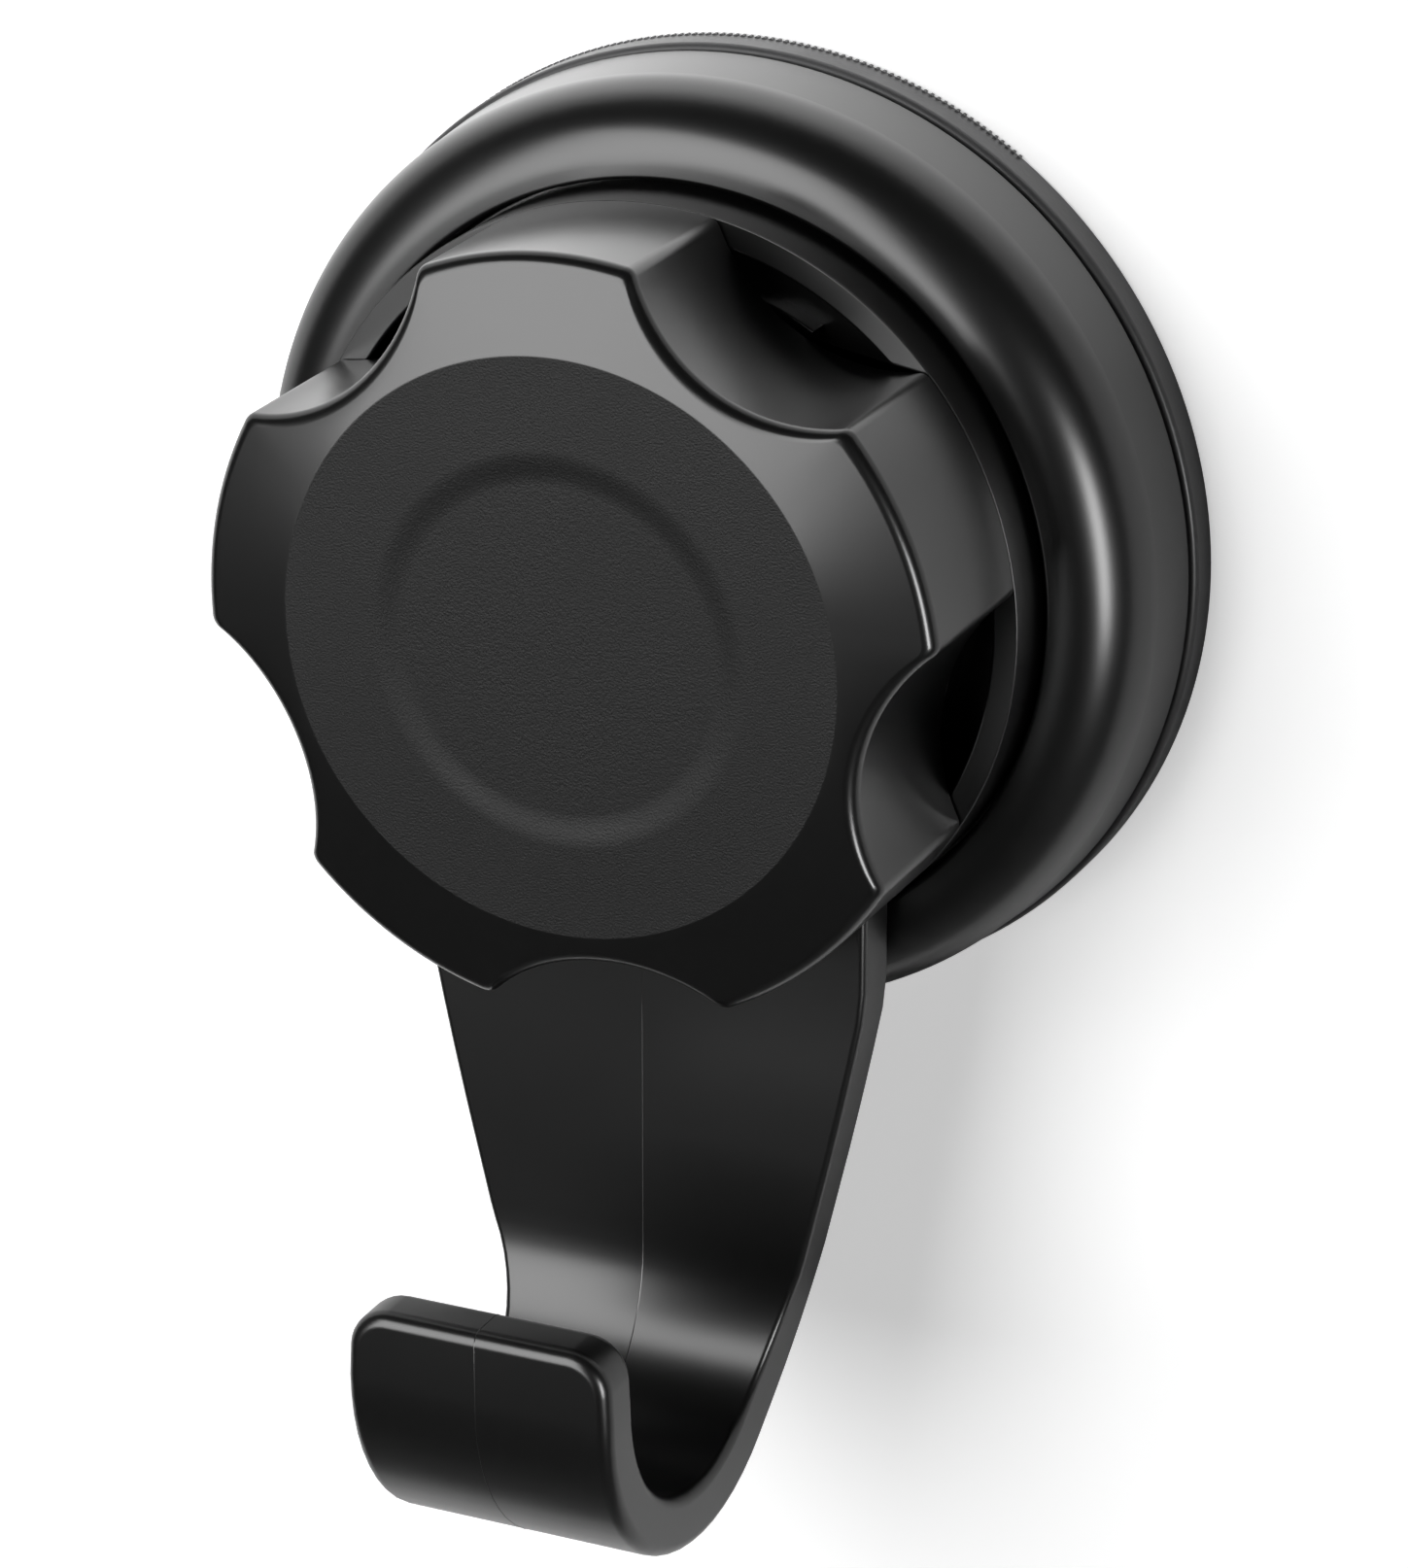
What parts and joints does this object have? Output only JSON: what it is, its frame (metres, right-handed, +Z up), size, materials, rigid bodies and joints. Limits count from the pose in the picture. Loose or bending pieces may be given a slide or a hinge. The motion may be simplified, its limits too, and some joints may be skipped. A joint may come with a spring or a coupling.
{
  "type": "suction cup hook",
  "caption": "Wall hook held by a rubber suction cup: a star knob turns to draw the cup tight, and a broad J hook hangs below its round head.",
  "frame": {"origin": "middle of the cup's sealing face, on the wall plane", "axes": "+Z up, -Y out of the wall along the knob's axis, +X to the right when facing the hook"},
  "size_m": [0.0712, 0.0471, 0.1029],
  "materials": {
    "cup_rubber": "matt soft rubber",
    "stud_plastic": "plain moulded",
    "housing_plastic": "satin black",
    "hook_plastic": "satin black",
    "knob_plastic": "satin black with a fine textured disc"
  },
  "bodies": {
    "base": {"suction_cup": "cup_rubber", "housing": "housing_plastic", "hook": "hook_plastic"},
    "stud": {"threaded_stud": "stud_plastic"},
    "knob": {"knob": "knob_plastic"}
  },
  "joints": [
    {"name": "knob_turn", "type": "hinge", "parent": "base", "child": "knob", "pos_m": [0, -0.018, 0], "axis": [0, -1, 0], "range_deg": [0, 540]},
    {"name": "stud_travel", "type": "slide", "parent": "base", "child": "stud", "axis": [0, 1, 0], "range_m": [0, 0.003], "deforming": ["suction_cup"]}
  ],
  "couplings": [
    {"joint": "stud_travel", "follows": "knob_turn", "m_per_rad": 0.000318}
  ]
}
